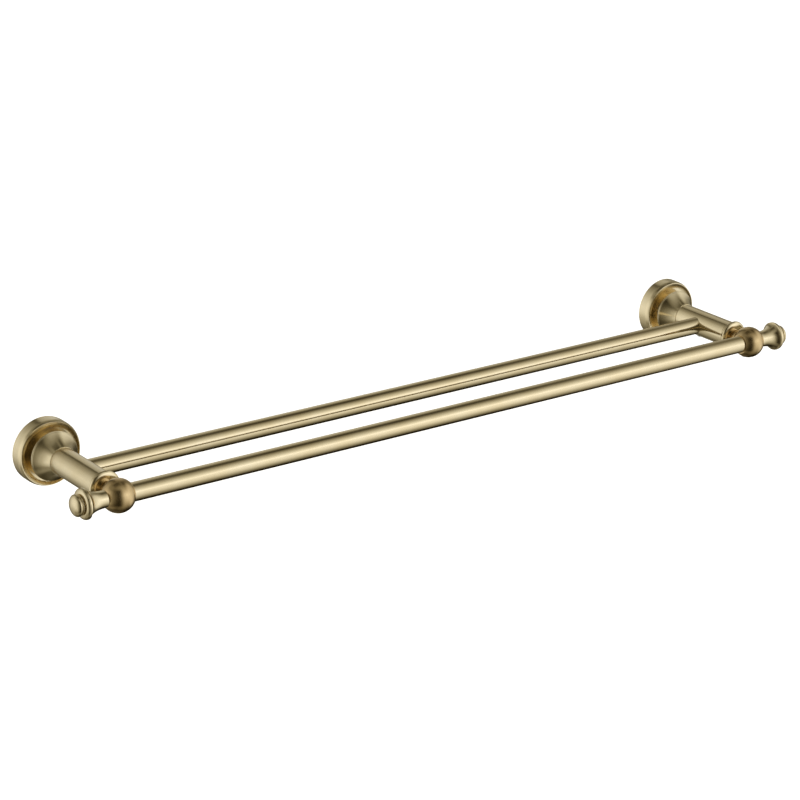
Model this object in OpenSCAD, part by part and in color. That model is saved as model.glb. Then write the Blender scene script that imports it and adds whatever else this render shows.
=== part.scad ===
// Twin bar towel rack for a wall: two turned posts carry a rear and a front bar.
// Frame: X runs along the bars, the wall is the plane y = 0, the rack stands out towards -Y, Z is up.
// The origin is on the wall, midway between the posts, at the height of both bars.

/* [Rack] */
// Distance between the axes of the two posts
post_spacing = 680; // [300:5:900]
// Distance from the wall to the axis of the front bar
front_reach = 124; // [122:1:150]
// Distance from the wall to the axis of the rear bar
rear_reach = 60; // [60:1:66]

/* [Bars] */
// Outer diameter of both towel bars
bar_d = 16; // [12:0.5:16]
// Wall thickness of the bar tubes
bar_wall = 1.2; // [0.8:0.1:2]
// Radial play of a bar in its bore
bar_play = 0.05; // [0.02:0.01:0.2]

/* [Rosette and wall bracket] */
// Outer diameter of the rosette
rosette_d = 58; // [56:1:64]
// Diameter of the sharp ring between the rosette's shoulder and its cove
rosette_ring_d = 55.6; // [54:0.2:56]
// Height of the wall bracket's rim above the wall
bracket_depth = 7; // [6:0.5:7]
// Thickness of the wall bracket's sheet
bracket_sheet = 2.5; // [1.5:0.5:2.5]
// Distance between the two wall screws of one bracket
wall_screw_spacing = 34; // [30:1:36]
// Diameter of the holes for the wall screws
wall_screw_hole_d = 5; // [4:0.5:5.5]

/* [Bell, arm and collar] */
// Diameter of the bell's lip
bell_lip_d = 43.6; // [42:0.2:45]
// Diameter of the arm
arm_d = 24; // [23:0.5:25]
// Diameter of the collar's rim
collar_rim_d = 28.4; // [27:0.2:29]
// Distance from the collar's front edge to the axis of the front bar
collar_gap = 18.8; // [18:0.2:20]

/* [Ball and finial] */
// Diameter of the ball that holds the front bar
ball_d = 28.8; // [28:0.2:30]
// Diameter of the neck between ball and collar
neck_d = 14.4; // [12:0.2:15]
// Diameter of the finial where it meets the ball
finial_neck_d = 14.6; // [13:0.2:15]
// Diameter of the finial's rim
finial_rim_d = 26.4; // [25:0.2:27]
// Distance from the ball's centre to the tip of the finial
finial_tip = 42.8; // [42:0.2:45]

/* [Fasteners] */
// Diameter of the post bolt and of the ball's tail
bolt_d = 8; // [6:1:8]
// Diameter of the finial's stud
stud_d = 6; // [5:1:6]
// Diameter of the arm's set screw
arm_screw_d = 5; // [4:1:5]
// Diameter of the rosette's and the ball's set screws
small_screw_d = 4; // [3:1:4]
// Radial play of a thread in its hole
thread_play = 0.05; // [0.02:0.01:0.1]

/* [Hidden] */
$fn = 96;
LEFT = -1;
RIGHT = 1;
BRASS = [0.72, 0.64, 0.45];
STEEL = [0.66, 0.67, 0.69];

post_x = post_spacing / 2;
bar_r = bar_d / 2;
bar_bore_r = bar_r + bar_play;
arm_r = arm_d / 2;
ball_r = ball_d / 2;
bolt_r = bolt_d / 2;
bolt_clearance = 0.3;
bolt_clear_r = bolt_r + bolt_clearance;
bolt_thread_r = bolt_r + thread_play;
arm_screw_r = arm_screw_d / 2;
small_screw_r = small_screw_d / 2;
past = 1;

// Rosette: rear rim on the wall, hollow behind, seat for the bell in front
rosette_r = rosette_d / 2;
rosette_ring_r = rosette_ring_d / 2;
rosette_wall = 2.4;
rosette_side_depth = 8.5;
rosette_shoulder_turn = 37;
rosette_ring_depth = 13.2;
rosette_ring_land = 0.6;
rosette_web_depth = 12.5;
rosette_pocket_r = 11.5;
rosette_pocket_step = 4;
rosette_cavity_depth = 7.2;
rosette_neck_r = 14.5;
bell_seat_depth = 18.4;
cove_r = 6.5;
cove_from = -40;

// Wall bracket: a shallow cup that the rosette slips over
bracket_play = 0.3;
bracket_r = rosette_r - rosette_wall - bracket_play;
bracket_rim = 2;
lock_depth = (bracket_sheet + bracket_depth) / 2;
lock_hole_r = small_screw_r + 0.2;

// Bell: a rolled lip on the rosette's neck, then a concave flare down to a bead against the arm
bell_lip_r = bell_lip_d / 2;
bell_lip_roll_r = 0.8;
bell_lip_roll_h = 0.9;
bell_lip_ledge = 0.4;
bell_lip_depth = 20.2;
bell_flare_from = 228;
bell_flare_to = 204;
bell_end_depth = 34.2;
bell_step = 0.2;
bell_top_r = arm_r + bell_step;
bead_r = 0.35;
bead_at = bell_end_depth - 0.4;

// Collar and neck
dish_depth = 1;
dish_slope = 0.6;
collar_h = 5.8;
collar_front = front_reach - collar_gap - dish_depth;
arm_end = collar_front - collar_h;
collar_step = 0.1;
collar_rim_r = collar_rim_d / 2;
collar_rim_depth = arm_end + 4;
collar_lip_r = 0.9;
collar_face_r = 9.4;
neck_r = neck_d / 2;

// Depths of the threads and bores
bolt_length = 35;
washer_sheet = 1.6;
washer_r = 8;
bolt_head_r = 6.5;
bolt_head_h = 4;
bolt_key_r = 2.9;
bolt_hole_end = 49;
tail_length = 16;
tail_hole = 18;
rear_bore_past_axis = 6;
rear_bar_past_axis = 5.5;
front_bore_past_axis = 2;
front_bar_past_axis = 1.5;

// Finial, as distances from the ball's centre
finial_neck_r = finial_neck_d / 2;
finial_rim_r = finial_rim_d / 2;
finial_seat = sqrt(pow(ball_r, 2) - pow(finial_neck_r, 2));
finial_neck_h = 1.2;
finial_flare_out = 1.3;
finial_lip_r = 1;
finial_rim_at = 31.6;
finial_groove_at = 35;
finial_groove_r = 8;
finial_ring_at = 36.1;
finial_ring_r = 9;
finial_ring_bead_r = 0.4;
finial_ring_foot = 0.5;
finial_button_neck_r = 8.3;
finial_button_at = 37.2;
finial_button_r = 9.3;
finial_button_edge = 0.9;
stud_r = stud_d / 2;
stud_in_ball = 6.5;
stud_in_finial = 11.5;
stud_hole_past = 0.5;
bore_land_w = 0.9;
bore_land_r = bar_bore_r + bore_land_w;
bore_land_at = sqrt(pow(ball_r, 2) - pow(bore_land_r, 2));

// Set screws, all fitted from below
key_share = 0.5;
key_depth = 1.6;
screw_gap = 0.02;
screw_sunk = 0.5;
arm_screw_off = 3;
ball_screw_off = 4.5;
rosette_screw_length = 5;

// Points of an elliptical arc about (cx, cy), from angle a0 to angle a1
function arc(cx, cy, rx, ry, a0, a1, steps = 8) = [
    for (i = [0:steps])
        let (a = a0 + (a1 - a0) * i / steps)
        [cx + rx * cos(a), cy + ry * sin(a)]
];

// Turns children about a post's axis; their z is the distance from the wall
module on_post(side) {
    translate([side * post_x, 0, 0])
        rotate([90, 0, 0])
            children();
}

// Turns children about the front bar's axis; their z is the distance outwards from the ball's centre
module on_finial(side) {
    translate([side * post_x, -front_reach, 0])
        rotate([0, side * 90, 0])
            children();
}

// A ring or disc turned from radius-and-height points
module turned(points) {
    rotate_extrude()
        polygon(points);
}

// A plain rod or hole between two heights
module rod(r, from, to) {
    translate([0, 0, from])
        cylinder(r = r, h = to - from);
}

// A grub screw standing on z, its key socket at the lower end
module grub_screw(r, bottom, top) {
    difference() {
        rod(r, bottom, top);
        translate([0, 0, bottom - past])
            cylinder(r = r * key_share, h = key_depth + past, $fn = 6);
    }
}

// A straight tube along X, centred on the rack
module bar(length, reach) {
    color(BRASS)
        translate([-length / 2, -reach, 0])
            rotate([0, 90, 0])
                difference() {
                    cylinder(r = bar_r, h = length);
                    rod(bar_r - bar_wall, -past, length + past);
                }
}

module front_bar() {
    bar(post_spacing + 2 * front_bar_past_axis, front_reach);
}

module rear_bar() {
    bar(post_spacing + 2 * rear_bar_past_axis, rear_reach);
}

// Steel cup with two wall screw holes, one above the other, and a hole that the set screw locks in
module wall_bracket(side) {
    color(STEEL)
        difference() {
            on_post(side)
                difference() {
                    turned([
                        [0, 0],
                        [bracket_r, 0],
                        [bracket_r, bracket_depth],
                        [bracket_r - bracket_rim, bracket_depth],
                        [bracket_r - bracket_rim, bracket_sheet],
                        [0, bracket_sheet]
                    ]);
                    for (up = [-1, 1])
                        translate([0, up * wall_screw_spacing / 2, 0])
                            rod(wall_screw_hole_d / 2, -past, bracket_sheet + past);
                }
            translate([side * post_x, -lock_depth, 0])
                rod(lock_hole_r, -bracket_r - past, -bracket_r + bracket_rim + past);
        }
}

// Wall flange: straight side, rounded shoulder up to a sharp ring, a cove inside it and a neck for the bell
module rosette(side) {
    shoulder_w = (rosette_r - rosette_ring_r) / (1 - cos(rosette_shoulder_turn));
    shoulder_h = (rosette_ring_depth - rosette_side_depth) / sin(rosette_shoulder_turn);
    cove_x = rosette_ring_r - rosette_ring_land - cove_r * cos(cove_from);
    cove_y = rosette_ring_depth - cove_r * sin(cove_from);
    color(BRASS)
        difference() {
            on_post(side)
                turned(concat(
                    [[rosette_r - rosette_wall, 0], [rosette_r, 0]],
                    arc(rosette_r - shoulder_w, rosette_side_depth, shoulder_w, shoulder_h,
                        0, rosette_shoulder_turn, 6),
                    arc(cove_x, cove_y, cove_r, cove_r, cove_from, -90),
                    [
                        [rosette_neck_r, cove_y - cove_r],
                        [rosette_neck_r, bell_seat_depth],
                        [bolt_clear_r, bell_seat_depth],
                        [bolt_clear_r, rosette_web_depth],
                        [washer_r + past, rosette_web_depth],
                        [rosette_pocket_r, rosette_web_depth - rosette_pocket_step],
                        [rosette_r - rosette_wall, rosette_cavity_depth]
                    ]
                ));
            translate([side * post_x, -lock_depth, 0])
                rod(small_screw_r + thread_play, -rosette_r - past, -rosette_r + rosette_wall + past);
        }
}

// Trumpet shaped collar: rolled lip, concave flare and a fine bead against the arm
module bell(side) {
    flare_r = bell_lip_r - bell_lip_ledge;
    flare_end = 2 * bead_at - bell_end_depth;
    flare_rx = (flare_r - bell_top_r) / (cos(bell_flare_from) - cos(bell_flare_to));
    flare_ry = (flare_end - bell_lip_depth) / (sin(bell_flare_to) - sin(bell_flare_from));
    flare_x = flare_r - flare_rx * cos(bell_flare_from);
    flare_y = bell_lip_depth - flare_ry * sin(bell_flare_from);
    color(BRASS)
        on_post(side)
            turned(concat(
                [[bolt_clear_r, bell_seat_depth]],
                arc(bell_lip_r - bell_lip_roll_r, bell_seat_depth + bell_lip_roll_h,
                    bell_lip_roll_r, bell_lip_roll_h, -90, 90, 8),
                arc(flare_x, flare_y, flare_rx, flare_ry, bell_flare_from, bell_flare_to, 12),
                arc(bell_top_r, bead_at, bead_r, bead_r, -90, 90, 6),
                [[bell_top_r, bell_end_depth], [bolt_clear_r, bell_end_depth]]
            ));
}

// Round post with a threaded hole at each end and a blind side bore for the rear bar
module arm(side) {
    color(BRASS)
        difference() {
            on_post(side)
                difference() {
                    rod(arm_r, bell_end_depth, arm_end);
                    rod(bolt_thread_r, bell_end_depth - past, bolt_hole_end);
                    rod(bolt_thread_r, arm_end - tail_hole, arm_end + past);
                }
            translate([side * post_x, -rear_reach, 0])
                rotate([0, side * 90, 0])
                    rod(bar_bore_r, -arm_r - past, rear_bore_past_axis);
            translate([side * (post_x - arm_screw_off), -rear_reach, 0])
                rod(arm_screw_r + thread_play, -arm_r - past, -bar_r / 2);
        }
}

// Flared ring between the arm and the ball's neck, rounded over and dished in front
module collar(side) {
    lip_at = collar_rim_r - collar_lip_r;
    flare_r = lip_at + collar_lip_r * cos(60);
    flare_h = collar_rim_depth - collar_lip_r * sin(60) - arm_end;
    face_r = lip_at + collar_lip_r * cos(20);
    face_at = collar_rim_depth + collar_lip_r * sin(20);
    face_h = collar_front + dish_depth - face_at;
    color(BRASS)
        on_post(side)
            turned(concat(
                [[bolt_clear_r, arm_end]],
                arc(flare_r, arm_end, flare_r - arm_r - collar_step, flare_h, 180, 100, 8),
                arc(lip_at, collar_rim_depth, collar_lip_r, collar_lip_r, -60, 10, 6),
                arc(collar_face_r, face_at, face_r - collar_face_r, face_h, 0, 90, 10),
                [
                    [collar_face_r - dish_slope, collar_front],
                    [bolt_clear_r, collar_front]
                ]
            ));
}

// Ball turned in one piece with its neck and its threaded tail
module ball(side) {
    tail_end = collar_front - tail_length;
    neck_end = front_reach - ball_r / 2;
    color(BRASS)
        difference() {
            union() {
                on_finial(side)
                    rotate([0, 0, -90])
                        intersection() {
                            sphere(r = ball_r);
                            rod(ball_r + past, -bore_land_at, finial_seat);
                        }
                on_post(side)
                    turned([
                        [0, tail_end],
                        [bolt_r, tail_end],
                        [bolt_r, collar_front],
                        [neck_r, collar_front],
                        [neck_r, neck_end],
                        [0, neck_end]
                    ]);
            }
            on_finial(side) {
                rod(bar_bore_r, -ball_r - past, front_bore_past_axis);
                rod(stud_r + thread_play, finial_seat - stud_in_ball - stud_hole_past, ball_r + past);
            }
            translate([side * (post_x - ball_screw_off), -front_reach, 0])
                rod(small_screw_r + thread_play, -ball_r - past, -bar_r / 2);
        }
}

// Turned end piece: neck, trumpet flare, rounded rim, convex face, fine ring and domed button
module finial(side) {
    flare_r = finial_rim_r + finial_flare_out;
    flare_start = finial_seat + finial_neck_h;
    flare_h = finial_rim_at - finial_lip_r - flare_start;
    lip_at = finial_rim_r - finial_lip_r;
    face_r = lip_at + finial_lip_r * cos(30);
    face_at = finial_rim_at + finial_lip_r * sin(30);
    face_h = finial_groove_at - face_at;
    dome_at = finial_button_at + finial_button_edge;
    color(BRASS)
        on_finial(side)
            difference() {
                turned(concat(
                    [[0, finial_seat], [finial_neck_r, finial_seat]],
                    arc(flare_r, flare_start, flare_r - finial_neck_r, flare_h, 180, 101, 12),
                    arc(lip_at, finial_rim_at, finial_lip_r, finial_lip_r, -20, 20, 5),
                    arc(finial_groove_r, face_at, face_r - finial_groove_r, face_h, 0, 90, 10),
                    [[finial_groove_r, finial_ring_at - finial_ring_foot]],
                    arc(finial_ring_r - finial_ring_bead_r, finial_ring_at,
                        finial_ring_bead_r, finial_ring_bead_r, -90, 90, 6),
                    [
                        [finial_button_neck_r, finial_ring_at + finial_ring_foot],
                        [finial_button_neck_r, finial_button_at]
                    ],
                    arc(0, dome_at, finial_button_r, finial_tip - dome_at, 0, 90, 12)
                ));
                rod(stud_r + thread_play, finial_seat - past, finial_seat + stud_in_finial + stud_hole_past);
            }
}

// Short threaded rod that joins finial and ball
module finial_stud(side) {
    color(STEEL)
        on_finial(side)
            rod(stud_r, finial_seat - stud_in_ball, finial_seat + stud_in_finial);
}

// Low headed bolt, its head inside the rosette, that clamps rosette and bell to the arm
module post_bolt(side) {
    head_front = rosette_web_depth - washer_sheet;
    color(STEEL)
        on_post(side)
            difference() {
                union() {
                    rod(bolt_head_r, head_front - bolt_head_h, head_front);
                    rod(bolt_r, head_front - past, head_front + bolt_length);
                }
                translate([0, 0, head_front - bolt_head_h - past])
                    cylinder(r = bolt_key_r, h = bolt_head_h * key_share + past, $fn = 6);
            }
}

module washer(side) {
    color(STEEL)
        on_post(side)
            difference() {
                rod(washer_r, rosette_web_depth - washer_sheet, rosette_web_depth);
                rod(bolt_clear_r, rosette_web_depth - washer_sheet - past, rosette_web_depth + past);
            }
}

// Locks the rosette on the wall bracket
module rosette_screw(side) {
    bottom = -rosette_r + screw_sunk;
    color(STEEL)
        translate([side * post_x, -lock_depth, 0])
            grub_screw(small_screw_r, bottom, bottom + rosette_screw_length);
}

// Holds the rear bar in the arm
module arm_screw(side) {
    color(STEEL)
        translate([side * (post_x - arm_screw_off), -rear_reach, 0])
            grub_screw(arm_screw_r, -arm_r + screw_sunk, -bar_r - screw_gap);
}

// Holds the front bar in the ball
module ball_screw(side) {
    surface = sqrt(pow(ball_r, 2) - pow(ball_screw_off, 2));
    color(STEEL)
        translate([side * (post_x - ball_screw_off), -front_reach, 0])
            grub_screw(small_screw_r, -surface + screw_sunk, -bar_r - screw_gap);
}

front_bar();
rear_bar();
wall_bracket(LEFT);  // left_wall_bracket
wall_bracket(RIGHT);  // right_wall_bracket
rosette(LEFT);  // left_rosette
rosette(RIGHT);  // right_rosette
bell(LEFT);  // left_bell
bell(RIGHT);  // right_bell
arm(LEFT);  // left_arm
arm(RIGHT);  // right_arm
collar(LEFT);  // left_collar
collar(RIGHT);  // right_collar
ball(LEFT);  // left_ball
ball(RIGHT);  // right_ball
finial(LEFT);  // left_finial
finial(RIGHT);  // right_finial
finial_stud(LEFT);  // left_finial_stud
finial_stud(RIGHT);  // right_finial_stud
post_bolt(LEFT);  // left_post_bolt
post_bolt(RIGHT);  // right_post_bolt
washer(LEFT);  // left_washer
washer(RIGHT);  // right_washer
rosette_screw(LEFT);  // left_rosette_screw
rosette_screw(RIGHT);  // right_rosette_screw
arm_screw(LEFT);  // left_arm_screw
arm_screw(RIGHT);  // right_arm_screw
ball_screw(LEFT);  // left_ball_screw
ball_screw(RIGHT);  // right_ball_screw
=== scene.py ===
import math

import bmesh
import bpy
from mathutils import Matrix, Vector


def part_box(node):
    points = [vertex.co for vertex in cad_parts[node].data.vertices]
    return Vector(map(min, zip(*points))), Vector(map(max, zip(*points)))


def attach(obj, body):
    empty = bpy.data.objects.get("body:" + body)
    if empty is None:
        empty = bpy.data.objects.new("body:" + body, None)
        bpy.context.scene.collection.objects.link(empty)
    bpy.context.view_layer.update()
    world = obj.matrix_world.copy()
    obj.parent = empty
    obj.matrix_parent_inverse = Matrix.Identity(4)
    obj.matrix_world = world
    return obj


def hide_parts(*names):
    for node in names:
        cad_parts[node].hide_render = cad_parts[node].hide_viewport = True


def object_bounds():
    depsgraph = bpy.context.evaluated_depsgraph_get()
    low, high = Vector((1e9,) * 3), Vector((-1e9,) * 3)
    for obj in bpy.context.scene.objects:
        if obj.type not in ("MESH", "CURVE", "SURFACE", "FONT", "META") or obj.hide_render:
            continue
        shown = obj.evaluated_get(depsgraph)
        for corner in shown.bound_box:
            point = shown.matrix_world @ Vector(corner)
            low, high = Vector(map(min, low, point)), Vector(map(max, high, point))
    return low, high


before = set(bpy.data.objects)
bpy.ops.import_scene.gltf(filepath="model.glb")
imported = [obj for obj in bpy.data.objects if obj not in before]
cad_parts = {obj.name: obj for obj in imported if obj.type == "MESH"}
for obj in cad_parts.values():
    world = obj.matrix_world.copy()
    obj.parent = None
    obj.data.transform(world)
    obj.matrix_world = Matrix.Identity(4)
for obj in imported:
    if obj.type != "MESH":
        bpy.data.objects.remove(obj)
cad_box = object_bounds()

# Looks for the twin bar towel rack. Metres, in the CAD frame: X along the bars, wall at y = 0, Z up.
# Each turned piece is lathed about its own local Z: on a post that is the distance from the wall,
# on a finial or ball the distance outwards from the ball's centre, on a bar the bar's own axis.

MM = 0.001
SIDES = {"left": -1, "right": 1}
SEGMENTS = 160
DRILL_SEGMENTS = 64
ROOT = "root"


# ---------------------------------------------------------------- sizes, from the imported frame

def size(node):
    low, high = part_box(node)
    return high - low


def centre(node):
    low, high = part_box(node)
    return (low + high) / 2


def depths(node):
    """Nearest and furthest distance of a node from the wall."""
    low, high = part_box(node)
    return -high.y, -low.y


PLAY = 0.05 * MM
PAST = 1 * MM
BAR_R = size("front_bar").z / 2
BAR_WALL = 1.2 * MM
BORE_R = BAR_R + PLAY
ARM_R = size("left_arm").z / 2
BALL_R = size("left_ball").z / 2
POST_X = centre("right_arm").x
FRONT_REACH = -centre("front_bar").y
REAR_REACH = -centre("rear_bar").y
BOLT_R = 4 * MM
BOLT_CLEAR_R = BOLT_R + 0.3 * MM
BOLT_HOLE_R = BOLT_R + PLAY
# How far the collar's dome stands proud of the flat face that the ball's neck meets
COLLAR_DOME = 1 * MM


# ---------------------------------------------------------------- mesh tools

def arc(cr, ch, rr, rh, start, end, steps):
    """Points of an elliptical arc about (cr, ch), angles in degrees from the radial direction."""
    angles = [math.radians(start + (end - start) * i / steps) for i in range(steps + 1)]
    return [(cr + rr * math.cos(a), ch + rh * math.sin(a)) for a in angles]


def rounded(points, steps=5):
    """Rounds the corners of an outline. A point is (radius, height) or (radius, height, rounding)."""
    made = []
    count = len(points)
    for i, point in enumerate(points):
        here = Vector(point[:2])
        rounding = point[2] if len(point) > 2 else 0
        if not rounding:
            made.append(tuple(here))
            continue
        before = Vector(points[i - 1][:2]) - here
        after = Vector(points[(i + 1) % count][:2]) - here
        reach = min(rounding, before.length * 0.45, after.length * 0.45)
        a = here + before.normalized() * reach
        b = here + after.normalized() * reach
        for k in range(steps + 1):
            t = k / steps
            made.append(tuple(a.lerp(here, t).lerp(here.lerp(b, t), t)))
    return made


def lathe(name, outline, place, segments=SEGMENTS):
    """Turns a closed outline of (radius, height) points about local Z and puts the piece at place."""
    bm = bmesh.new()
    turn = [2 * math.pi * k / segments for k in range(segments)]
    rings = []
    for r, h in outline:
        if r < 1e-7:
            rings.append([bm.verts.new((0, 0, h))])
            continue
        rings.append([bm.verts.new((r * math.cos(a), r * math.sin(a), h)) for a in turn])
    for lower, upper in zip(rings, rings[1:] + rings[:1]):
        if len(lower) == 1 and len(upper) == 1:
            continue
        for k in range(segments):
            n = (k + 1) % segments
            corners = [lower[k % len(lower)], lower[n % len(lower)],
                       upper[n % len(upper)], upper[k % len(upper)]]
            bm.faces.new(list(dict.fromkeys(corners)))
    bmesh.ops.recalc_face_normals(bm, faces=bm.faces)
    mesh = bpy.data.meshes.new(name)
    bm.to_mesh(mesh)
    bm.free()
    piece = bpy.data.objects.new(name, mesh)
    bpy.context.scene.collection.objects.link(piece)
    piece.matrix_world = place
    bpy.context.view_layer.update()
    return piece


def combine(piece, other, operation):
    """Cuts other out of piece, or joins it on, and removes other."""
    change = piece.modifiers.new("change", "BOOLEAN")
    change.operation = operation
    change.solver = "EXACT"
    change.object = other
    bpy.context.view_layer.update()
    changed = piece.evaluated_get(bpy.context.evaluated_depsgraph_get())
    mesh = bpy.data.meshes.new_from_object(changed)
    piece.modifiers.clear()
    piece.data = mesh
    bpy.data.objects.remove(other)


def smooth(piece, crease=35):
    """Smooth shading that keeps flat faces flat and creases sharp."""
    piece.data.shade_smooth()
    piece.data.set_sharp_from_angle(angle=math.radians(crease))
    weighted = piece.modifiers.new("normals", "WEIGHTED_NORMAL")
    weighted.keep_sharp = True
    weighted.weight = 50


def on_post(sign):
    """Local Z runs from the wall along the post's axis."""
    return Matrix.Translation((sign * POST_X, 0, 0)) @ Matrix.Rotation(math.radians(90), 4, "X")


def on_finial(sign):
    """Local Z runs outwards from the ball's centre along the front bar's axis."""
    turn = Matrix.Rotation(math.radians(sign * 90), 4, "Y")
    return Matrix.Translation((sign * POST_X, -FRONT_REACH, 0)) @ turn


def drill(piece, radius, point, direction, length):
    """Cuts a round hole into piece, from point along direction."""
    turn = Vector(direction).to_track_quat("Z", "Y").to_matrix().to_4x4()
    rod = [(0, 0), (radius, 0), (radius, length), (0, length)]
    cutter = lathe("cutter", rod, Matrix.Translation(point) @ turn, DRILL_SEGMENTS)
    combine(piece, cutter, "DIFFERENCE")


def drill_for_screw(piece, screw, surface, wall):
    """Cuts the hole of a set screw upwards through a wall whose outside lies surface below the axis."""
    place = centre(screw)
    below = (place.x, place.y, -surface - PAST)
    drill(piece, size(screw).x / 2 + PLAY, below, (0, 0, 1), wall + 2 * PAST)


# ---------------------------------------------------------------- materials

class Nodes:
    """A short way to write a node tree."""

    def __init__(self, tree):
        self.tree = tree
        tree.nodes.clear()

    def add(self, kind, inputs=None, **settings):
        node = self.tree.nodes.new(kind)
        for key, value in settings.items():
            setattr(node, key, value)
        for key, value in (inputs or {}).items():
            self.put(node.inputs[key], value)
        return node

    def put(self, socket, value):
        if isinstance(value, bpy.types.NodeSocket):
            self.tree.links.new(value, socket)
        else:
            socket.default_value = value

    def math(self, operation, *values, clamp=False):
        node = self.add("ShaderNodeMath", dict(enumerate(values)), operation=operation, use_clamp=clamp)
        return node.outputs[0]

    def product(self, first, *others):
        for other in others:
            first = self.math("MULTIPLY", first, other)
        return first

    def fade(self, value, start, width):
        """0 up to start, 1 from start + width on. A negative width fades the other way."""
        return self.math("MULTIPLY_ADD", value, 1 / width, -start / width, clamp=True)

    def ramp(self, value, stops):
        """A grey ramp: stops are (place, brightness)."""
        node = self.add("ShaderNodeValToRGB", {"Fac": value})
        node.color_ramp.interpolation = "EASE"
        elements = node.color_ramp.elements
        while len(elements) < len(stops):
            elements.new(0.5)
        for element, (place, _) in zip(elements, stops):
            element.position = place
        for element, (_, level) in zip(elements, stops):
            element.color = (level, level, level, 1)
        return node.outputs["Color"]

    def mix(self, share, a, b):
        node = self.add("ShaderNodeMix", {"Factor": share}, data_type="RGBA")
        for socket, value in ((node.inputs[6], a), (node.inputs[7], b)):
            self.put(socket, (*value, 1) if isinstance(value, tuple) else value)
        return node.outputs[2]

    def noise(self, vector, scale, detail, roughness):
        node = self.add("ShaderNodeTexNoise", {"Vector": vector, "Scale": scale, "Detail": detail,
                                               "Roughness": roughness})
        return node.outputs["Fac"]


def shade(colour, factor):
    return tuple(min(1, c * factor) for c in colour)


# Grain of the turned brass, as noise scales per metre: fine brush rings, broader rings and patches
FINE_GRAIN = 3200.0
BROAD_GRAIN = 700.0
PATCH_GRAIN = 38.0
# How far a ring's pattern drifts in one turn, in metres per radian
RING_DRIFT = 0.002
# Pointiness above the first value is an edge that gets a painted highlight, below the second a hollow that
# gets painted shade
EDGE_FROM = 0.52
HOLLOW_SHADE_FROM = 0.49
EDGE_GAIN = 9.0


def turned_metal(name, tint, deep, roughness, brush_depth):
    """Metal brushed on a lathe about local Z: fine rings, faint patches, painted shade in hollows and a
    painted highlight on edges.
    """
    material = bpy.data.materials.new(name)
    material.use_nodes = True
    n = Nodes(material.node_tree)
    place = n.add("ShaderNodeTexCoord").outputs["Object"]
    x, y, z = n.add("ShaderNodeSeparateXYZ", {"Vector": place}).outputs
    radius = n.math("SQRT", n.math("ADD", n.math("MULTIPLY", x, x), n.math("MULTIPLY", y, y)))
    turn = n.math("MULTIPLY", n.math("ARCTAN2", y, x), RING_DRIFT)
    rings = n.add("ShaderNodeCombineXYZ", {"X": radius, "Y": z, "Z": turn}).outputs[0]
    fine = n.noise(rings, FINE_GRAIN, 2.0, 0.6)
    broad = n.noise(rings, BROAD_GRAIN, 3.0, 0.6)
    patches = n.noise(place, PATCH_GRAIN, 4.0, 0.55)
    brush = n.math("ADD", n.math("MULTIPLY", fine, 0.6), n.math("MULTIPLY", broad, 0.4))

    edge = n.add("ShaderNodeNewGeometry").outputs["Pointiness"]
    # Mask for the painted highlight on sharp edges
    edge_highlight = n.math("MULTIPLY", n.math("SUBTRACT", edge, EDGE_FROM), EDGE_GAIN, clamp=True)
    # Mask for the painted shade in hollows and creases
    hollow_shade = n.math("MULTIPLY", n.math("SUBTRACT", HOLLOW_SHADE_FROM, edge), EDGE_GAIN, clamp=True)

    # Colour: patches lead from the deep tint to the light one, rings darken, hollows get painted shade and
    # edges a painted highlight
    patchy = n.math("MULTIPLY", n.math("SUBTRACT", patches, 0.35), 1.6, clamp=True)
    ringed = n.math("MULTIPLY", n.math("SUBTRACT", brush, 0.45), 0.9, clamp=True)
    colour = n.mix(patchy, deep, tint)
    colour = n.mix(ringed, colour, shade(deep, 0.82))
    # Painted shade: hollows and creases are darkened towards a deep brown, where shade would fall
    colour = n.mix(n.math("MULTIPLY", hollow_shade, 0.55), colour, shade(deep, 0.45))
    # Painted highlight: sharp edges are lightened towards a brighter gold
    colour = n.mix(n.math("MULTIPLY", edge_highlight, 0.5), colour, shade(tint, 1.12))

    # Roughness: the brush marks and patches vary it, and the highlit edges are smoother
    rough = n.math("ADD", roughness - 0.08, n.math("MULTIPLY", brush, 0.12))
    rough = n.math("ADD", rough, n.math("MULTIPLY", n.math("SUBTRACT", patches, 0.5), 0.10))
    rough = n.math("SUBTRACT", rough, n.math("MULTIPLY", edge_highlight, 0.06), clamp=True)
    bump = n.add("ShaderNodeBump", {"Strength": 1.0, "Distance": brush_depth, "Height": brush})
    tangent = n.add("ShaderNodeTangent", direction_type="RADIAL", axis="Z")
    shader = n.add("ShaderNodeBsdfPrincipled", {
        "Base Color": colour,
        "Metallic": 1.0,
        "Roughness": rough,
        "Anisotropic": 0.3,
        "Anisotropic Rotation": 0.25,
        "Coat Weight": 0.3,
        "Coat Roughness": 0.18,
        "Normal": bump.outputs[0],
        "Tangent": tangent.outputs[0],
    })
    n.add("ShaderNodeOutputMaterial", {"Surface": shader.outputs[0]})
    return material


def plated_metal(name, light, dark, roughness, scale):
    """Plated sheet or turned steel with a faint crystal pattern and scuffs."""
    material = bpy.data.materials.new(name)
    material.use_nodes = True
    n = Nodes(material.node_tree)
    place = n.add("ShaderNodeTexCoord").outputs["Object"]
    flakes = n.add("ShaderNodeTexVoronoi", {"Vector": place, "Scale": scale}).outputs["Distance"]
    cloud = n.noise(place, scale * 0.4, 4.0, 0.6)
    scuffs = n.noise(place, scale * 6, 2.0, 0.7)
    rough = n.math("ADD", roughness - 0.1, n.math("MULTIPLY", scuffs, 0.2))
    height = n.math("ADD", n.math("MULTIPLY", flakes, 0.3), n.math("MULTIPLY", scuffs, 0.7))
    bump = n.add("ShaderNodeBump", {"Strength": 0.5, "Distance": 0.02 * MM, "Height": height})
    shader = n.add("ShaderNodeBsdfPrincipled", {
        "Base Color": n.mix(cloud, dark, light),
        "Metallic": 1.0,
        "Roughness": rough,
        "Normal": bump.outputs[0],
    })
    n.add("ShaderNodeOutputMaterial", {"Surface": shader.outputs[0]})
    return material


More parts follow.
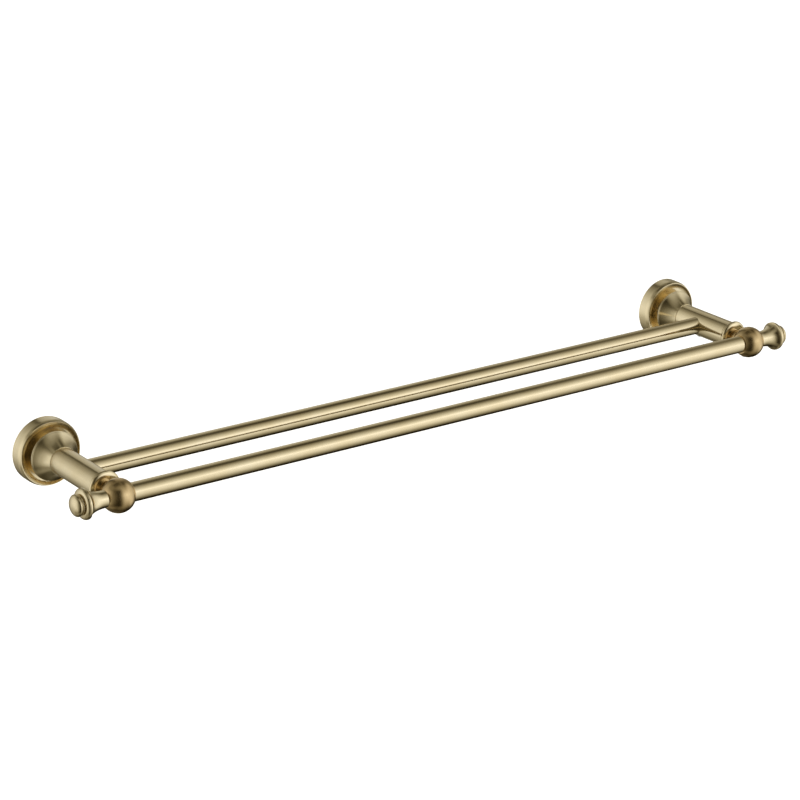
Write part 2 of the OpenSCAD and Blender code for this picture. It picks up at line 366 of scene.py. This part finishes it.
GOLD = (0.86, 0.775, 0.57)
GOLD_DEEP = (0.78, 0.67, 0.44)
BAR_GOLD = (0.80, 0.71, 0.51)
BAR_GOLD_DEEP = (0.73, 0.62, 0.40)
# The balls get a darker, browner copy of the brass: painted shade standing for the darker reflections on
# the balls
SHADED_BALL_GOLD = (0.70, 0.56, 0.325)
SHADED_BALL_GOLD_DEEP = (0.57, 0.415, 0.205)
BRASS_TURNED = turned_metal("satin_brass_turned", GOLD, GOLD_DEEP, 0.22, 0.008 * MM)
BRASS_BALL = turned_metal("satin_brass_ball", SHADED_BALL_GOLD, SHADED_BALL_GOLD_DEEP, 0.24, 0.006 * MM)
BRASS_BAR = turned_metal("satin_brass_bar", BAR_GOLD, BAR_GOLD_DEEP, 0.17, 0.003 * MM)
BRACKET = plated_metal("zinc_plate", (0.72, 0.72, 0.70), (0.55, 0.56, 0.56), 0.42, 260.0)
PLATED = plated_metal("zinc_plated_bolt", (0.74, 0.73, 0.68), (0.58, 0.57, 0.52), 0.32, 700.0)
SCREW = plated_metal("stainless_screw", (0.56, 0.56, 0.57), (0.40, 0.40, 0.41), 0.28, 900.0)


# ---------------------------------------------------------------- the pieces

def finish_piece(piece, node, material):
    """Gives a brass piece its shading, material and place in the assembly."""
    smooth(piece)
    piece.data.materials.clear()
    piece.data.materials.append(material)
    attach(piece, ROOT)
    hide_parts(node)


def make_bar(node):
    """A drawn tube with softly broken ends."""
    half = size(node).x / 2
    inner = BAR_R - BAR_WALL
    outer_break = 0.3 * MM
    inner_break = 0.2 * MM
    section = rounded([
        (BAR_R, -half, outer_break),
        (BAR_R, half, outer_break),
        (inner, half, inner_break),
        (inner, -half, inner_break),
    ])
    turn = Matrix.Rotation(math.radians(90), 4, "Y")
    tube = lathe(node + "_tube", section, Matrix.Translation(centre(node)) @ turn)
    finish_piece(tube, node, BRASS_BAR)


def make_rosette(side, sign):
    """A wall flange: rounded shoulder, sharp ring, deep cove, and a neck that the bell sits on."""
    node = side + "_rosette"
    base, seat = depths(node)
    outer = size(node).z / 2
    wall = 2.4 * MM
    inside = outer - wall

    # The shoulder starts on the flange's side and stops just before the ring's outer edge
    side_depth = 8.5 * MM
    shoulder_w = 6 * MM
    shoulder_turn = 37
    ring_r = outer - 1.2 * MM
    ring_depth = 13.2 * MM
    land = 0.6 * MM
    shoulder_h = (ring_depth - side_depth) / math.sin(math.radians(shoulder_turn))

    # The cove starts at the ring's inner edge, 40 degrees into its circle, and ends at its lowest point
    cove = 6.5 * MM
    cove_from = -40
    cove_r = ring_r - land - cove * math.cos(math.radians(cove_from))
    cove_depth = ring_depth - cove * math.sin(math.radians(cove_from))
    neck = 14.5 * MM

    # The hollow behind: a flat pad round the bolt, a sloping step and the bracket's room
    pad_r = 9 * MM
    pad_depth = seat - 5.9 * MM
    pocket_r = 11.5 * MM
    pocket_depth = pad_depth - 4 * MM
    cavity_depth = 7.2 * MM

    outline = rounded([
        (inside, base, 0.2 * MM),
        (outer, base, 0.35 * MM),
        *arc(outer - shoulder_w, side_depth, shoulder_w, shoulder_h, 0, shoulder_turn - 1, 8),
        (ring_r, ring_depth, 0.3 * MM),
        (ring_r - land, ring_depth, 0.2 * MM),
        *arc(cove_r, cove_depth, cove, cove, cove_from - 1, -90, 16),
        (neck, cove_depth - cove, 0.8 * MM),
        (neck, seat),
        (BOLT_CLEAR_R, seat),
        (BOLT_CLEAR_R, pad_depth),
        (pad_r, pad_depth),
        (pocket_r, pocket_depth),
        (inside, cavity_depth, 0.6 * MM),
    ])
    piece = lathe(node + "_flange", outline, on_post(sign))
    drill_for_screw(piece, side + "_rosette_screw", outer, wall)
    finish_piece(piece, node, BRASS_TURNED)


def make_bell(side, sign):
    """A trumpet: round lip at the rosette, steep flare, and two fine beads at the arm's joint."""
    node = side + "_bell"
    base, top = depths(node)
    lip = size(node).z / 2
    lip_r = 0.85 * MM
    neck = ARM_R + 0.2 * MM
    wide = lip - 0.4 * MM

    # The flare is part of an ellipse, from just above the lip to just below the beads
    flare_from = 228
    flare_to = 204
    flare_start = base + 2 * lip_r
    flare_end = top - 0.85 * MM
    first, last = math.radians(flare_from), math.radians(flare_to)
    flare_w = (wide - neck) / (math.cos(first) - math.cos(last))
    flare_h = (flare_end - flare_start) / (math.sin(last) - math.sin(first))
    flare_r = wide - flare_w * math.cos(first)
    flare_depth = flare_start - flare_h * math.sin(first)

    outline = [
        (BOLT_CLEAR_R, base),
        (lip - 1.2 * lip_r, base),
        *arc(lip - lip_r, base + lip_r, lip_r, lip_r, -80, 68, 12),
        *arc(flare_r, flare_depth, flare_w, flare_h, flare_from - 0.5, flare_to, 30),
        *arc(neck, top - 0.75 * MM, 0.12 * MM, 0.3 * MM, -90, 90, 8),
        *arc(neck - 0.1 * MM, top - 0.22 * MM, 0.14 * MM, 0.2 * MM, -80, 90, 6),
        (BOLT_CLEAR_R, top),
    ]
    piece = lathe(node + "_trumpet", outline, on_post(sign))
    finish_piece(piece, node, BRASS_TURNED)


def make_arm(side, sign):
    """The post: a turned bar, threaded at both ends, with a blind side bore for the rear bar."""
    node = side + "_arm"
    base, end = depths(node)
    straight = 0.9 * MM
    bolt_hole = 14.8 * MM
    tail_hole = 18 * MM
    outline = rounded([
        (BOLT_HOLE_R, base),
        (ARM_R, base, 0.12 * MM),
        (ARM_R, base + straight),
        (ARM_R, end - straight),
        (ARM_R, end, 0.3 * MM),
        (BOLT_HOLE_R, end),
        (BOLT_HOLE_R, end - tail_hole),
        (0, end - tail_hole),
        (0, base + bolt_hole),
        (BOLT_HOLE_R, base + bolt_hole),
    ])
    piece = lathe(node + "_post", outline, on_post(sign))
    bore_past_axis = 6 * MM
    bore_floor = (sign * (POST_X + bore_past_axis), -REAR_REACH, 0)
    drill(piece, BORE_R, bore_floor, (-sign, 0, 0), 2 * ARM_R)
    drill_for_screw(piece, side + "_arm_screw", ARM_R, ARM_R - BAR_R)
    finish_piece(piece, node, BRASS_TURNED)


def make_collar(side, sign):
    """A flared ring on the arm's front end: fine step at the joint, round rim, domed front."""
    node = side + "_collar"
    base, front = depths(node)
    rim = size(node).z / 2
    rim_r = 0.9 * MM
    rim_at = base + 4 * MM

    # The flare rises from a step a little wider than the arm to the rim
    step = ARM_R + 0.12 * MM
    flare_start = base + 0.4 * MM
    flare_end = rim_at - 0.8 * rim_r
    flare_r = rim - 0.5 * rim_r

    # The dome runs from the rim to the flat face that the ball's neck stands on
    face_r = 9.4 * MM
    face = front - COLLAR_DOME
    dome_at = rim_at + 0.3 * MM

    outline = rounded([
        (BOLT_CLEAR_R, base),
        (ARM_R - 0.15 * MM, base),
        (step, base + 0.25 * MM, 0.1 * MM),
        *arc(flare_r, flare_start, flare_r - step, flare_end - flare_start, 180, 95, 10),
        *arc(rim - rim_r, rim_at, rim_r, rim_r, -50, 25, 8),
        *arc(face_r, dome_at, rim - 0.1 * rim_r - face_r, front - dome_at, 12, 90, 12),
        (face_r - 0.6 * MM, face),
        (BOLT_CLEAR_R, face),
    ])
    piece = lathe(node + "_ring", outline, on_post(sign))
    finish_piece(piece, node, BRASS_TURNED)


def make_ball(side, sign):
    """The ball with its neck and threaded tail: a bore for the front bar and a hole for the stud."""
    node = side + "_ball"
    tail_end = depths(node)[0]
    neck_start = depths(side + "_collar")[1] - COLLAR_DOME
    neck_end = FRONT_REACH - 11.5 * MM
    neck_r = 7.2 * MM
    bore_floor = 2 * MM
    stud_hole_r = size(side + "_finial_stud").z / 2 + PLAY
    stud_hole = 7 * MM

    # The sphere runs from the flat round the bar's bore to the flat that the finial stands on
    bore_flat_r = BORE_R + 0.9 * MM
    bore_flat = math.sqrt(BALL_R ** 2 - bore_flat_r ** 2)
    seat_r = 7.3 * MM
    seat = math.sqrt(BALL_R ** 2 - seat_r ** 2)
    start = math.degrees(math.asin(-bore_flat / BALL_R))
    end = math.degrees(math.asin(seat / BALL_R))
    outline = rounded([
        *arc(0, 0, BALL_R, BALL_R, start, end, 72),
        (stud_hole_r, seat),
        (stud_hole_r, seat - stud_hole),
        (0, seat - stud_hole),
        (0, bore_floor),
        (BORE_R, bore_floor),
        (BORE_R, -bore_flat, 0.25 * MM),
    ])
    piece = lathe(node + "_sphere", outline, on_finial(sign))
    stem = [
        (0, tail_end),
        (BOLT_R, tail_end),
        (BOLT_R, neck_start),
        (neck_r, neck_start),
        (neck_r, neck_end),
        (0, neck_end),
    ]
    combine(piece, lathe("stem", stem, on_post(sign)), "UNION")
    drill_for_screw(piece, side + "_ball_screw", BALL_R, BALL_R - BAR_R)
    finish_piece(piece, node, BRASS_BALL)


def make_finial(side, sign):
    """A turned trumpet with a round rim, a groove with a fine bead, and a domed button."""
    node = side + "_finial"
    low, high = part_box(node)
    near, far = sorted((abs(low.x), abs(high.x)))
    seat = near - POST_X
    tip = far - POST_X
    stud_hole_r = size(side + "_finial_stud").z / 2 + PLAY
    stud_hole = seat + 12 * MM

    # The flare sweeps from the neck to the rim
    rim = size(node).z / 2
    rim_at = 31.6 * MM
    rim_r = 1 * MM
    neck = 7.3 * MM
    flare_start = seat + 1.2 * MM
    flare_end = rim_at - 0.75 * rim_r
    flare_r = rim + 1.3 * MM

    # Beyond the rim a shallow dome falls to the groove, which has a bead in its middle
    groove_r = 8 * MM
    groove_at = 35 * MM
    dome_at = rim_at + 0.5 * rim_r
    dome_w = rim - 0.13 * rim_r - groove_r
    dome_h = groove_at - rim_at - 0.5 * MM
    bead = 0.4 * MM
    bead_r = 9 * MM
    bead_at = groove_at + 1.1 * MM

    # The button
    button_r = 9.3 * MM
    button_at = 37.2 * MM
    button_edge = 0.9 * MM

    outline = rounded([
        (stud_hole_r, seat),
        (neck, seat, 0.15 * MM),
        (neck, seat + 0.6 * MM),
        *arc(flare_r, flare_start, flare_r - neck, flare_end - flare_start, 180, 101, 28),
        *arc(rim - rim_r, rim_at, rim_r, rim_r, -25, 30, 8),
        *arc(groove_r, dome_at, dome_w, dome_h, 4, 88, 16),
        (groove_r, groove_at + 0.6 * MM),
        *arc(bead_r - bead, bead_at, bead, bead, -90, 90, 10),
        (groove_r + 0.3 * MM, groove_at + 1.6 * MM),
        (groove_r + 0.3 * MM, button_at),
        (button_r - 0.25 * MM, button_at + 0.1 * MM, 0.2 * MM),
        *arc(0, button_at + button_edge, button_r, tip - button_at - button_edge, 0, 90, 28),
        (0, stud_hole),
        (stud_hole_r, stud_hole),
    ])
    piece = lathe(node + "_turning", outline, on_finial(sign))
    finish_piece(piece, node, BRASS_TURNED)


for bar_node in ("front_bar", "rear_bar"):
    make_bar(bar_node)
for side, sign in SIDES.items():
    for make in (make_rosette, make_bell, make_arm, make_collar, make_ball, make_finial):
        make(side, sign)

# The steel pieces keep their CAD shape
STEEL_PIECES = {
    "wall_bracket": BRACKET,
    "post_bolt": PLATED,
    "washer": PLATED,
    "finial_stud": PLATED,
    "rosette_screw": SCREW,
    "arm_screw": SCREW,
    "ball_screw": SCREW,
}
for side in SIDES:
    for part, material in STEEL_PIECES.items():
        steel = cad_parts[side + "_" + part]
        steel.data.materials.clear()
        steel.data.materials.append(material)


# ---------------------------------------------------------------- floor, light and camera

FLOOR_DROP = 0.45
FLOOR_HALF = 6.0


def make_floor():
    """A plain pale floor well below the rack."""
    height = cad_box[0].z - FLOOR_DROP
    mesh = bpy.data.meshes.new("floor")
    corners = [(-1, -1), (1, -1), (1, 1), (-1, 1)]
    places = [(x * FLOOR_HALF, y * FLOOR_HALF, height) for x, y in corners]
    mesh.from_pydata(places, [], [(0, 1, 2, 3)])
    floor = bpy.data.objects.new("floor", mesh)
    bpy.context.scene.collection.objects.link(floor)
    material = bpy.data.materials.new("pale_floor")
    material.use_nodes = True
    n = Nodes(material.node_tree)
    shader = n.add("ShaderNodeBsdfPrincipled", {
        "Base Color": (0.9, 0.9, 0.9, 1),
        "Roughness": 0.8,
        "Emission Color": (1, 1, 1, 1),
        "Emission Strength": 0.95,
    })
    n.add("ShaderNodeOutputMaterial", {"Surface": shader.outputs[0]})
    mesh.materials.append(material)
    floor.visible_glossy = False


# Brightness of the studio by the angle about the X axis, as a share of a turn:
# 0 and 1 behind the wall, 0.25 below, 0.5 in front of the rack, 0.75 overhead
OVER = [(0, 0.85), (0.04, 0.80), (0.11, 0.48), (0.17, 0.12), (0.245, 0.04), (0.30, 0.15),
        (0.343, 0.28), (0.382, 0.42), (0.42, 0.58), (0.455, 0.72), (0.50, 0.84), (0.55, 1.0),
        (0.583, 0.78), (0.616, 0.60), (0.648, 0.46), (0.682, 0.35), (0.716, 0.25),
        (0.753, 0.09), (0.793, 0.05), (0.838, 0.28), (0.89, 0.60), (0.93, 0.72), (1, 0.85)]
# The same by the angle about the Z axis: 0.25 at the left end, 0.5 in front, 0.75 at the right end
AROUND = [(0, 0.30), (0.05, 0.46), (0.08, 0.66), (0.12, 0.78), (0.16, 0.85), (0.23, 0.75),
          (0.28, 0.42), (0.33, 0.20), (0.385, 0.08), (0.42, 0.03), (0.46, 0.05), (0.49, 0.25),
          (0.515, 0.60), (0.55, 0.88), (0.60, 1.0), (0.65, 0.97), (0.70, 0.76), (0.79, 0.52),
          (0.88, 0.58), (0.92, 0.52), (0.945, 0.45), (0.965, 0.08), (0.985, 0.16), (1, 0.30)]
# Light from the two ends, and light from straight above or below
END_WALLS = 0.85
POLES = 0.9


def make_world():
    """A studio of soft panels with dark gaps, which only reflections see. The camera sees plain white."""
    world = bpy.data.worlds.new("studio")
    bpy.context.scene.world = world
    world.use_nodes = True
    n = Nodes(world.node_tree)
    direction = n.add("ShaderNodeTexCoord").outputs["Generated"]
    x, y, z = n.add("ShaderNodeSeparateXYZ", {"Vector": direction}).outputs
    forward = n.math("MULTIPLY", y, -1.0)
    tip = n.math("MULTIPLY_ADD", n.math("ARCTAN2", z, forward), 0.5 / math.pi, 0.5)
    turn = n.math("MULTIPLY_ADD", n.math("ARCTAN2", x, forward), 0.5 / math.pi, 0.5)

    # The end walls are lit evenly, with a faint panel low on the left and one high on the right
    ends = n.math("MAXIMUM", n.fade(x, -0.62, -1 / 3), n.fade(x, 0.58, 0.22))
    over = n.mix(ends, n.ramp(tip, OVER), (END_WALLS,) * 3)
    low_left = n.product(n.fade(x, -0.2, -0.25), 0.25)
    high_right = n.product(n.fade(x, 0.1, 0.2), n.fade(x, 0.52, -0.1), n.fade(z, 0.7, 0.2), 0.18)
    over = n.math("MAXIMUM", n.math("MAXIMUM", over, low_left), high_right)

    # Round the horizon the walls vary with the compass, which fades out towards the poles
    level_out = n.fade(n.math("ABSOLUTE", z), 1, -0.25)
    level = n.product(over, n.mix(level_out, (POLES,) * 3, n.ramp(turn, AROUND)))

    # Two dark screens behind on the right: one below the horizon and one along the end wall
    corner = n.product(n.fade(x, 0.25, 0.2), n.fade(y, -0.2, 1 / 3), n.fade(z, 0, -0.25))
    flank = n.product(n.fade(x, 0.55, 0.125), n.fade(y, 0.15, 0.2))
    level = n.product(level, n.math("MULTIPLY_ADD", corner, -0.8, 1.0),
                      n.math("MULTIPLY_ADD", flank, -0.6, 1.0))

    # The dim parts of the studio are warmer than the bright ones
    warm = n.add("ShaderNodeCombineColor", {
        "Red": level,
        "Green": n.math("POWER", level, 1.05),
        "Blue": n.math("POWER", level, 1.22),
    })
    studio = n.add("ShaderNodeBackground", {"Color": warm.outputs[0], "Strength": 1.42})
    plain = n.add("ShaderNodeBackground", {"Color": (1, 1, 1, 1), "Strength": 1.0})
    seen = n.add("ShaderNodeLightPath").outputs["Is Camera Ray"]
    both = n.add("ShaderNodeMixShader", {0: seen, 1: studio.outputs[0], 2: plain.outputs[0]})
    n.add("ShaderNodeOutputWorld", {"Surface": both.outputs[0]})


def make_camera():
    """In front on the left and above: looking along +Y turned 36 degrees towards +X, 20 degrees down."""
    place = (-1.34235, -1.88567, 0.82528)
    yaw, pitch, roll = 0.628154, 0.352386, 0.013066
    data = bpy.data.cameras.new("camera")
    data.sensor_width = 36
    data.lens = 122.44
    data.clip_end = 50
    camera = bpy.data.objects.new("camera", data)
    bpy.context.scene.collection.objects.link(camera)
    level = math.cos(pitch)
    ahead = Vector((math.sin(yaw) * level, math.cos(yaw) * level, -math.sin(pitch)))
    right = Vector((math.cos(yaw), -math.sin(yaw), 0))
    up = right.cross(ahead)
    image_x = math.cos(roll) * right + math.sin(roll) * up
    image_y = math.cos(roll) * up - math.sin(roll) * right
    turn = Matrix((image_x, image_y, -ahead)).transposed().to_4x4()
    camera.matrix_world = Matrix.Translation(place) @ turn
    bpy.context.scene.camera = camera


make_floor()
make_world()
make_camera()

bpy.context.scene.view_settings.view_transform = "Standard"
bpy.context.scene.view_settings.look = "None"
